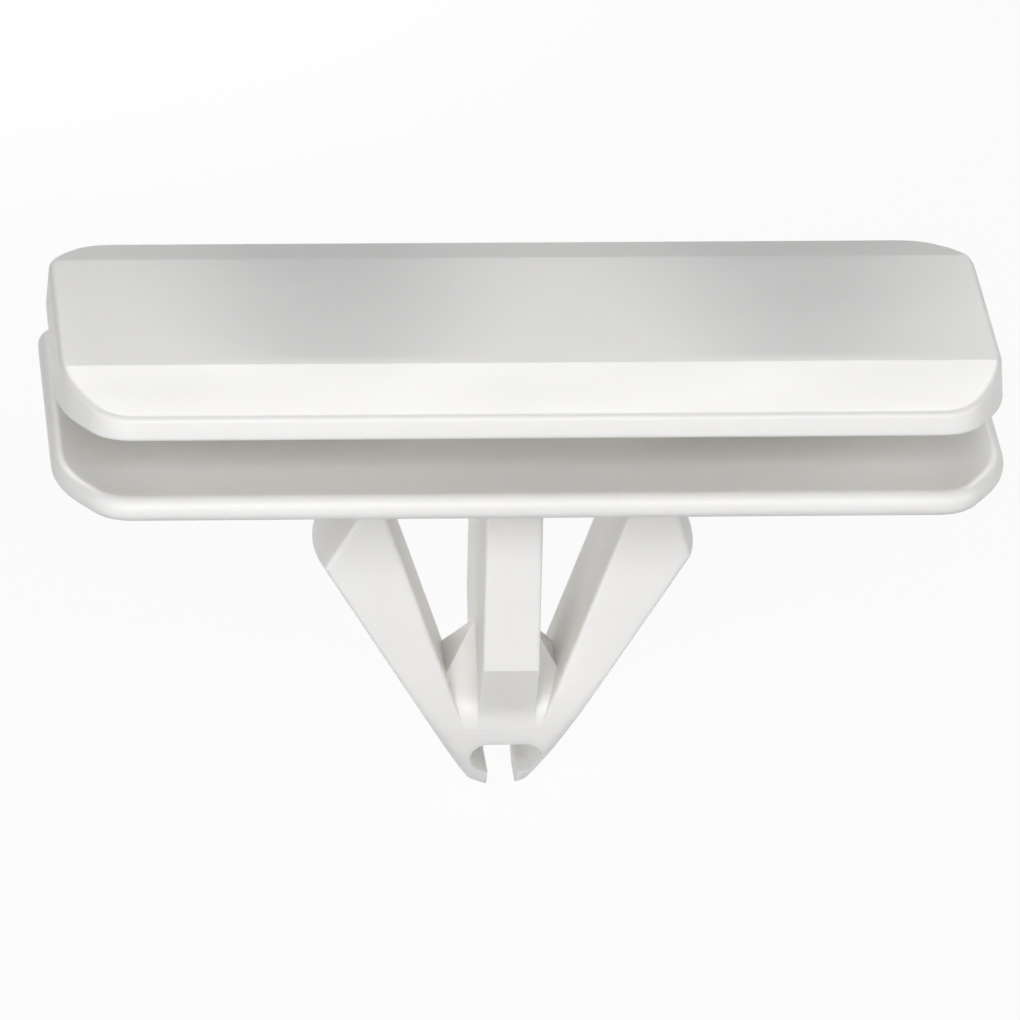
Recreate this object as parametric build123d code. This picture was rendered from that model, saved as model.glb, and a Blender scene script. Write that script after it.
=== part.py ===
from build123d import *
import os
from math import atan, cos, degrees

# White moulding clip, moulded in one piece. +X runs along the head, +Y away from the viewer,
# +Z up towards the head. The origin is the middle of the flange's underside, the face that
# seats on the panel. Below it hangs the arrow that snaps through the panel's hole, and above
# it the head slides into the back of the moulding. All sizes are in millimetres.

# Head plate
head_length = 39.8
head_depth = 20.3
head_flat_depth = 12.2
head_bevel_drop = 0.83
head_edge_height = 1.0
head_draft = 4.0
head_ridge_radius = 0.35
head_rim_radius = 0.3
head_under_radius = 0.15
head_corner_run_x = 1.85
head_corner_run_y = 3.3

# Flange plate, a little larger than the head all round; its back corners are not cut
flange_end_overhang = 0.16
flange_side_overhang = 0.1
flange_thickness = 1.1
flange_rim_radius = 0.52
flange_corner_run_x = 2.05
flange_corner_run_y = 3.6
flange_back_radius = 1.6

# Rounding of the cut corners on both plates
corner_end_radius = 7.0
corner_side_radius = 2.0

# Neck between the plates
channel_gap = 2.55
neck_length = 12.0
neck_depth = 6.0
neck_corner_radius = 1.0

# Arrow
arrow_offset = -0.5
crown_radius = 14.0
leg_depth = 6.2
leg_top_level = -1.6
leg_inner_level = -7.5
leg_inner_slope = 0.36
leg_edge_radius = 0.18
crotch_level = -11.7

# The two legs are not quite alike: the left one stands further out
left_rim_half_width = 8.19
left_rim_level = -5.05
left_toe_half_width = 1.34
left_ramp_slope = 0.6
left_inner_half_width = 3.57
right_rim_half_width = 7.97
right_rim_level = -4.6
right_toe_half_width = 1.0
right_ramp_slope = 0.29
right_inner_half_width = 3.23

# Stem blade
stem_width = 2.4
stem_depth = 10.0
stem_front_end = -8.97
stem_edge_radius = 0.15

# Nose
toe_level = -15.8
toe_round = 0.3
nose_start = -10.6
toe_depth = 3.06
nose_top_radius = 0.6
nose_toe_radius = 1.0
relief_offset = 0.08
relief_width = 3.08
relief_height = 1.5
relief_rise = 1.68
slot_offset = -0.05
slot_width = 1.26

# Webs in the crotches
left_web_level = -8.6
right_web_level = -8.85
web_slope = 1.4
web_reach = 3.2
web_foot_reach = 2.2

# Roots of stem and webs inside the nose, and the parting of the legs that shows their heels
root_depth = 1.0
parting_depth = 0.8
heel_radius = 1.5

# Working values: equal to the eye, and longer than the whole clip
coincident = 0.01
beyond = 60.0

flange_length = head_length + 2 * flange_end_overhang
flange_depth = head_depth + 2 * flange_side_overhang
head_under = flange_thickness + channel_gap
head_shoulder = head_under + head_edge_height
head_top = head_shoulder + head_bevel_drop
left_outer_slope = (left_rim_half_width - left_toe_half_width) / (left_rim_level - toe_level)
right_outer_slope = (right_rim_half_width - right_toe_half_width) / (right_rim_level - toe_level)
nose_arc_radius = (nose_start - toe_level) ** 2 / (leg_depth - toe_depth)
relief_level = toe_level + relief_rise


def plate_outline(length, depth, run_x, run_y):
    """Rectangle with cut corners, rounded more where they meet the ends."""
    half_x = length / 2
    half_y = depth / 2
    points = [
        (half_x, half_y - run_y),
        (half_x - run_x, half_y),
        (run_x - half_x, half_y),
        (-half_x, half_y - run_y),
        (-half_x, run_y - half_y),
        (run_x - half_x, -half_y),
        (half_x - run_x, -half_y),
        (half_x, run_y - half_y),
    ]
    outline = make_face(Polyline(*points, close=True))
    side_corners = [v for v in outline.vertices() if abs(v.Y) > half_y - coincident]
    outline = fillet(side_corners, corner_side_radius)
    end_corners = [v for v in outline.vertices() if abs(v.X) > half_x - coincident]
    return fillet(end_corners, corner_end_radius)


def along_y(points, depth):
    """Prism of an X-Z outline, centred on Y = 0."""
    face = make_face(Polyline(*[(x, 0, z) for x, z in points], close=True))
    return extrude(face, depth / 2, dir=(0, 1, 0), both=True)


def along_x(points, width):
    """Prism of a Y-Z outline, centred on X = 0."""
    face = make_face(Polyline(*[(0, y, z) for y, z in points], close=True))
    return extrude(face, width / 2, dir=(1, 0, 0), both=True)


def head():
    """Flat top with a bevel down each long side and a low drafted edge all round."""
    half_y = head_depth / 2
    half_flat = head_flat_depth / 2
    section = along_x(
        [
            (-half_y, head_under),
            (-half_y, head_shoulder),
            (-half_flat, head_top),
            (half_flat, head_top),
            (half_y, head_shoulder),
            (half_y, head_under),
        ],
        head_length,
    )
    blank = plate_outline(head_length, head_depth, head_corner_run_x, head_corner_run_y)
    height = head_top - head_under + head_edge_height
    block = extrude(Pos(0, 0, head_under) * blank, height, taper=head_draft)
    plate = section & block
    ridges = plate.edges().filter_by(Axis.X).group_by(Axis.Z)[-1]
    plate = fillet(ridges, head_ridge_radius)
    sides = [face for face in plate.faces() if face.bounding_box().min.Z < head_under + coincident]
    rim = [
        edge
        for side in sides
        for edge in side.edges()
        if edge.bounding_box().min.Z > head_shoulder - head_rim_radius
    ]
    plate = fillet(rim, head_rim_radius)
    foot = [e for e in plate.edges() if e.bounding_box().max.Z < head_under + coincident]
    return fillet(foot, head_under_radius)


def flange():
    """Plain plate with a fully rounded rim, its corners cut at the front only."""
    front = plate_outline(flange_length, flange_depth, flange_corner_run_x, flange_corner_run_y)
    back = Rectangle(flange_length, flange_depth / 2, align=(Align.CENTER, Align.MIN))
    back = fillet(back.vertices().sort_by(Axis.Y)[-2:], flange_back_radius)
    plate = extrude(front + back, flange_thickness)
    rim = plate.edges().filter_by(Plane.XY)
    return fillet(rim, flange_rim_radius)


def neck():
    """Rounded post that carries the head on the flange."""
    post = make_face(Rectangle(neck_length, neck_depth).wires())
    post = fillet(post.vertices(), neck_corner_radius)
    return Pos(0, 0, flange_thickness / 2) * extrude(post, channel_gap + flange_thickness)


def crowned(half_width, level, slope):
    """Tilted round bar whose skin is an outer face: crowned across, straight down its length."""
    tilt = atan(slope)
    radius = crown_radius / cos(tilt)
    bar = Pos(-radius, 0, 0) * Cylinder(radius, beyond)
    return Pos(half_width, 0, level) * Rot(0, degrees(tilt), 0) * bar


def slab(points, half_width, level, slope):
    """Leg-deep prism with one crowned outer face and rounded front and back edges beside it."""
    blank = along_y(points, leg_depth) & crowned(half_width, level, slope)
    edges = [
        edge
        for edge in blank.edges()
        if abs(abs(edge.center().Y) - leg_depth / 2) < coincident
        and edge.bounding_box().max.Z > leg_top_level - coincident
        and edge.bounding_box().min.Z < crotch_level + coincident
        and edge.center().X > stem_width / 2
    ]
    return fillet(edges, leg_edge_radius)


def leg(rim_half_width, rim_level, outer_slope, ramp_slope, inner_half_width):
    """One springing leg with its half of the nose, drawn on the right."""
    drop = rim_level - toe_level
    rise = leg_top_level - rim_level
    parting_level = crotch_level - parting_depth
    column = [
        (0, toe_level),
        (rim_half_width - outer_slope * drop, toe_level),
        (rim_half_width + outer_slope * rise, leg_top_level),
        (inner_half_width + leg_inner_slope * (leg_top_level - leg_inner_level), leg_top_level),
        (inner_half_width + leg_inner_slope * (parting_level - leg_inner_level), parting_level),
        (0, parting_level),
    ]
    shoulder = [
        (0, toe_level),
        (rim_half_width + ramp_slope * drop, toe_level),
        (rim_half_width - ramp_slope * rise, leg_top_level),
        (0, leg_top_level),
    ]
    column = slab(column, rim_half_width, rim_level, outer_slope)
    shoulder = slab(shoulder, rim_half_width, rim_level, -ramp_slope)
    return column & shoulder


def nose_half_depth(level):
    """Half depth of the arrow: that of the legs at the nose's start, curving in below it."""
    below = nose_start - level
    return leg_depth / 2 - below * abs(below) / (2 * nose_arc_radius)


def nose_section(level, radius, inset):
    """Level cut through the rounded spike that holds the nose."""
    left = left_rim_half_width - left_outer_slope * (left_rim_level - level) - inset
    right = right_rim_half_width - right_outer_slope * (right_rim_level - level) - inset
    depth = 2 * (nose_half_depth(level) - inset)
    return Pos((right - left) / 2, 0, level) * RectangleRounded(left + right, depth, radius)


def spike():
    """Room for the legs: open above, and a rounded spike down to the toes."""
    steps = 5
    tip = toe_level + toe_round
    sections = []
    for step in range(steps + 1):
        share = step / steps
        level = stem_front_end + share * (tip - stem_front_end)
        radius = nose_top_radius + share * (nose_toe_radius - nose_top_radius)
        sections.append(nose_section(level, radius, 0))
    toes = [sections[-1], nose_section(toe_level, nose_toe_radius - toe_round, toe_round)]
    height = flange_thickness - stem_front_end
    room = Pos(0, 0, stem_front_end + height / 2) * Box(flange_length, flange_depth, height)
    return loft(sections) + loft(toes, ruled=True) + room


def rooted(side):
    """Right-through prism of a Y-Z outline whose foot runs on down inside the nose."""
    foot = nose_half_depth(crotch_level)
    root_level = crotch_level - root_depth
    root = nose_half_depth(root_level)
    outline = [
        (-root, root_level),
        (-foot, crotch_level),
        *side,
        (foot, crotch_level),
        (root, root_level),
    ]
    prism = along_x(outline, beyond)
    lengthwise = prism.edges().filter_by(Axis.X)
    heels = [e for e in lengthwise if abs(e.center().Z - crotch_level) < coincident]
    return fillet(heels, heel_radius)


def legs():
    """Both legs, the left one drawn on the right and turned over."""
    left = leg(
        left_rim_half_width,
        left_rim_level,
        left_outer_slope,
        left_ramp_slope,
        left_inner_half_width,
    )
    right = leg(
        right_rim_half_width,
        right_rim_level,
        right_outer_slope,
        right_ramp_slope,
        right_inner_half_width,
    )
    return (mirror(left, about=Plane.YZ) + right) & spike()


def stem():
    """Blade that hangs from the flange and slopes in to meet the nose."""
    foot_level = crotch_level - root_depth
    height = flange_thickness / 2 - foot_level
    blade = Pos(0, 0, foot_level + height / 2) * Box(stem_width, stem_depth, height)
    blade = fillet(blade.edges().filter_by(Axis.Z), stem_edge_radius)
    side = rooted(
        [
            (-stem_depth / 2, stem_front_end),
            (-stem_depth / 2, flange_thickness),
            (stem_depth / 2, flange_thickness),
            (stem_depth / 2, stem_front_end),
        ]
    )
    return blade & side


def web(ridge_level):
    """Gusset between stem and leg, highest in the middle and sloping to both faces."""
    foot_level = crotch_level - root_depth
    top_level = ridge_level + web_slope * stem_width / 2
    gusset = along_y(
        [
            (0, foot_level),
            (0, top_level),
            (web_reach, top_level - web_slope * web_reach),
            (web_foot_reach, foot_level),
        ],
        leg_depth,
    )
    return gusset & rooted([(0, ridge_level)])


def relief():
    """Long hole through the nose, open downwards through a slot between two toes."""
    across = Plane(origin=(relief_offset, 0, relief_level), x_dir=(1, 0, 0), z_dir=(0, -1, 0))
    hole = extrude(across * SlotOverall(relief_width, relief_height), beyond / 2, both=True)
    height = relief_level - toe_level + relief_height / 2
    slot = Box(slot_width, beyond, height)
    return hole + Pos(slot_offset, 0, relief_level - height / 2) * slot


def arrow():
    """Stem blade, two legs, the webs between them and the nose that joins them."""
    webs = web(right_web_level) + mirror(web(left_web_level), about=Plane.YZ)
    return Pos(arrow_offset, 0, 0) * (stem() + legs() + webs - relief())


os.makedirs("parts", exist_ok=True)
clip_body = head() + neck() + flange() + arrow()
export_step(clip_body, "parts/clip_body.step")
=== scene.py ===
import math

import bpy
from mathutils import Matrix, Vector


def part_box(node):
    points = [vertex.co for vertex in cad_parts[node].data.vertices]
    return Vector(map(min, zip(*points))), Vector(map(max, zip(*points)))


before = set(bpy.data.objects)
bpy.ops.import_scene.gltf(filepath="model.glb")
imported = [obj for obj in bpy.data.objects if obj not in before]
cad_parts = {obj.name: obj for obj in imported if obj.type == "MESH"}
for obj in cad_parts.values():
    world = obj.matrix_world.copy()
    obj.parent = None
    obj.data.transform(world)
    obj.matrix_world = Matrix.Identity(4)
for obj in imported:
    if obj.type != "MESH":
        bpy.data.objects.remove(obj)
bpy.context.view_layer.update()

# Clip body: head plate, neck, flange and arrow, moulded in one shot in natural white nylon.
# The skin has the polished tool's soft sheen, with faint flow marks and a slight waviness, and
# bands of painted reflection and painted shade along the head's top and back bevel;
# the nylon is a little translucent, and warms where light bounces between the plates.
mm = 0.001
clean_nylon = (0.86, 0.85, 0.825, 1.0)
# Dull nylon: painted shade in the head's bands, and random duller tone under the cloud noise.
dull_and_shaded_nylon = (0.66, 0.66, 0.65, 1.0)
cool_nylon = (0.79, 0.80, 0.80, 1.0)
nylon_ior = 1.53


class Sock:
    """A shader socket that takes part in Python sums; node() adds any other node."""

    def __init__(self, tree, out):
        self.tree = tree
        self.out = out

    def node(self, kind, settings=None, **inputs):
        """Any node: its type, its settings, and its sockets by name or, as i0 or i6, by place."""
        made = self.tree.nodes.new(kind)
        for name, value in (settings or {}).items():
            setattr(made, name, value)
        for name, value in inputs.items():
            key = int(name[1:]) if name[0] == "i" and name[1:].isdigit() else name.replace("_", " ")
            if isinstance(value, Sock):
                self.tree.links.new(value.out, made.inputs[key])
            else:
                made.inputs[key].default_value = value
        return made

    def math(self, operation, *values):
        made = self.node("ShaderNodeMath", {"operation": operation},
                         **{f"i{order}": value for order, value in enumerate(values)})
        return Sock(self.tree, made.outputs[0])

    def __add__(self, other):
        return self.math("ADD", self, other)

    def __sub__(self, other):
        return self.math("SUBTRACT", self, other)

    def __mul__(self, other):
        return self.math("MULTIPLY", self, other)

    def __rsub__(self, other):
        return self.math("SUBTRACT", other, self)

    __radd__ = __add__
    __rmul__ = __mul__

    def larger(self, other):
        return self.math("MAXIMUM", self, other)

    def ramp(self, low, high):
        """0 below low, 1 above high, smooth between."""
        made = self.node("ShaderNodeMapRange", {"interpolation_type": "SMOOTHSTEP"},
                         Value=self, From_Min=low, From_Max=high)
        return Sock(self.tree, made.outputs[0])

    def between(self, low, high):
        """The colour low where this socket is 0, high where it is 1, and a mix between."""
        made = self.node("ShaderNodeMix", {"data_type": "RGBA"}, i0=self, i6=low, i7=high)
        return Sock(self.tree, made.outputs[2])


def noise(place, waves, detail, stretch=None):
    """Noise of about that many waves a metre, from 0 to 1; stretch slows it along an axis."""
    if stretch:
        scaled = place.node("ShaderNodeVectorMath", {"operation": "MULTIPLY"}, i0=place, i1=stretch)
        place = Sock(place.tree, scaled.outputs[0])
    made = place.node("ShaderNodeTexNoise", Vector=place, Scale=waves, Detail=detail)
    return Sock(place.tree, made.outputs[0])


def painted_light_bands(place):
    """Painted reflection (0) and painted shade (1) bands along the head's top and back bevel, with
    lengths in mm.

    They fade out at the front bevel and down the rim, and carry a little more painted shade towards
    the back.
    """
    band_spacing = 19.8
    painted_sheen_middle = 2.0
    front_fade = (-6.4, -5.0)
    top_fade = (3.8, 4.5)
    back_shade_lean = 0.04
    split = place.node("ShaderNodeSeparateXYZ", Vector=place)
    along, across, height = [Sock(place.tree, out) * (1 / mm) for out in split.outputs]
    wave = along.math("COSINE", (along - painted_sheen_middle) * (2 * math.pi / band_spacing))
    on_top = across.ramp(*front_fade) * height.ramp(*top_fade)
    # Bands of painted sheen and painted shade, with painted shade growing towards the back of the
    # head.
    return (0.5 - 0.5 * wave + back_shade_lean * across) * on_top


nylon = bpy.data.materials.new("white_nylon")
nylon.use_nodes = True
tree = nylon.node_tree
skin = tree.nodes["Principled BSDF"]
place = Sock(tree, tree.nodes.new("ShaderNodeTexCoord").outputs["Object"])
cloud = noise(place, 70.0, 2.0, (1.0, 0.35, 1.0))
flow = noise(place, 420.0, 3.0, (0.35, 1.0, 1.0))
grain = noise(place, 9000.0, 2.0)
pits = noise(place, 26000.0, 1.0)
# Bands of painted reflection and painted shade on the head; they also vary the roughness.
painted_band = painted_light_bands(place)

most_painted_shade = 0.9
cloud_dulling = 0.12
flow_cooling = 0.18
# The base colour turns to dull nylon as painted shade in the head's bands, and as random tone where
# the cloud noise is high.
painted_shade_and_cloud = (most_painted_shade * painted_band).larger(cloud_dulling * cloud.ramp(0.35, 0.65))
cooled = flow_cooling * flow.ramp(0.5, 0.8)
colour = cooled.between(painted_shade_and_cloud.between(clean_nylon, dull_and_shaded_nylon), cool_nylon)
tree.links.new(colour.out, skin.inputs["Base Color"])

satin = 0.45
roughness = satin + 0.14 * painted_band + 0.10 * (flow - 0.5) + 0.08 * (grain - 0.5)
tree.links.new(roughness.out, skin.inputs["Roughness"])

wave_height = 0.12 * mm
waviness = 0.7 * flow + 0.05 * grain + 0.02 * pits
bump = place.node("ShaderNodeBump", Height=waviness, Strength=0.25, Distance=wave_height)
tree.links.new(bump.outputs[0], skin.inputs["Normal"])
skin.inputs["IOR"].default_value = nylon_ior
skin.inputs["Subsurface Weight"].default_value = 0.6
skin.inputs["Subsurface Radius"].default_value = (1.0, 0.9, 0.75)
skin.inputs["Subsurface Scale"].default_value = 1.0 * mm

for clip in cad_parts.values():
    clip.data.materials.clear()
    clip.data.materials.append(nylon)

# Floor: plain white studio paper, laid flat just under the arrow's toes and wide enough to fill
# the picture. The camera sees it almost pure white, and it still takes a faint shadow.
floor_size = 6.0
floor_gap = 0.05 * mm
paper_in_light = (0.50, 0.50, 0.53, 1.0)
paper_as_seen = (0.9, 0.9, 0.9, 1.0)
glow_share = 0.93


def seen_ray(tree):
    """1 for rays that show the backdrop as it looks: straight, in a gloss or through glass."""
    path = tree.nodes.new("ShaderNodeLightPath").outputs
    straight = Sock(tree, path["Is Camera Ray"])
    mirrored = Sock(tree, path["Is Glossy Ray"])
    through = Sock(tree, path["Is Transmission Ray"])
    return straight.larger(mirrored.larger(through))


floor_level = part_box("clip_body")[0].z - floor_gap
bpy.ops.mesh.primitive_plane_add(size=floor_size, location=(0, 0, floor_level))
floor = bpy.context.object
floor.name = "studio_floor"
paper = bpy.data.materials.new("studio_paper")
paper.use_nodes = True
tree = paper.node_tree
matt_paper = tree.nodes["Principled BSDF"]
matt_paper.inputs["Roughness"].default_value = 0.9
seen = seen_ray(tree)
paper_colour = seen.between(paper_in_light, paper_as_seen)
tree.links.new(paper_colour.out, matt_paper.inputs["Base Color"])
glow = tree.nodes.new("ShaderNodeEmission")
mixed = seen.node("ShaderNodeMixShader", i0=glow_share * seen)
tree.links.new(matt_paper.outputs[0], mixed.inputs[1])
tree.links.new(glow.outputs[0], mixed.inputs[2])
tree.links.new(mixed.outputs[0], tree.nodes["Material Output"].inputs["Surface"])
floor.data.materials.append(paper)

# Studio light: a wide soft box in front of the clip and a small low one to its left, weak ones at
# both ends and behind, one behind and low that shines into the windows of the arrow, and two
# above and behind that are seen only as sheen on the head's top and front bevel.
world_light = 0.03


def soft_box(name, azimuth, elevation, size, power, distance=0.30):
    """Lamp aimed at the clip, in degrees, metres and watts.

    Azimuth 0 is the clip's front, where the camera is, and it grows to the left.
    """
    a = math.radians(azimuth)
    e = math.radians(elevation)
    way = Vector((-math.sin(a) * math.cos(e), -math.cos(a) * math.cos(e), math.sin(e)))
    lamp = bpy.data.lights.new(name, "AREA")
    lamp.shape = "RECTANGLE"
    lamp.size, lamp.size_y = size
    lamp.energy = power
    holder = bpy.data.objects.new(name, lamp)
    bpy.context.scene.collection.objects.link(holder)
    holder.location = way * distance
    holder.rotation_euler = way.to_track_quat("Z", "Y").to_euler()
    holder.visible_camera = False
    return holder


soft_box("front_box", 0, 27, (0.30, 0.12), 0.53)
soft_box("front_left_box", 20, 7, (0.06, 0.06), 0.26)
soft_box("left_box", 80, 15, (0.15, 0.15), 0.10)
soft_box("right_box", -80, 15, (0.15, 0.15), 0.22)

rear_left_box = soft_box("rear_left_box", 140, 10, (0.15, 0.10), 0.08)
rear_right_box = soft_box("rear_right_box", -140, 10, (0.15, 0.10), 0.10)
window_box = soft_box("window_box", 165, -4.8, (0.04, 0.008), 0.07, distance=0.12)
for box in (rear_left_box, rear_right_box, window_box):
    box.visible_glossy = False

sheen_box = soft_box("sheen_box", 180, 45, (0.40, 0.10), 1.65)
low_sheen_box = soft_box("low_sheen_box", 180, 25, (0.40, 0.08), 0.08)
for box in (sheen_box, low_sheen_box):
    box.visible_diffuse = False

world = bpy.data.worlds.new("surround")
bpy.context.scene.world = world
world.use_nodes = True
tree = world.node_tree
sky = tree.nodes["Background"]
sky.inputs["Color"].default_value = (1.0, 1.0, 1.0, 1.0)
strength = world_light + (1 - world_light) * seen_ray(tree)
tree.links.new(strength.out, sky.inputs["Strength"])

# Camera: where the photo was taken from, 4.7 degrees to the clip's left and 22.2 above it,
# with the small roll of the photo. The focal length comes from the clip's size in the photo.
turn = math.radians(4.70)
rise = math.radians(22.20)
roll = math.radians(1.359)
distance = 554.0 * mm
aim_across = -0.310 * mm
aim_up = -3.400 * mm
pixels_per_mm = 23.597
picture_width = 1020
back = Vector((-math.sin(turn) * math.cos(rise), -math.cos(turn) * math.cos(rise), math.sin(rise)))
right = Vector((math.cos(turn), -math.sin(turn), 0.0))
up = back.cross(right)
aim = right * aim_across + up * aim_up
tilted_right = right * math.cos(roll) + up * math.sin(roll)
tilted_up = up * math.cos(roll) - right * math.sin(roll)
camera = bpy.data.cameras.new("photo_camera")
camera.sensor_width = 36.0
camera.lens = pixels_per_mm * distance / mm * camera.sensor_width / picture_width
camera.clip_start = 0.05
camera.clip_end = 20.0
holder = bpy.data.objects.new("photo_camera", camera)
bpy.context.scene.collection.objects.link(holder)
axes = Matrix((tilted_right, tilted_up, back)).transposed().to_4x4()
holder.matrix_world = Matrix.Translation(aim + back * distance) @ axes
bpy.context.scene.camera = holder
bpy.context.scene.view_settings.view_transform = "Standard"
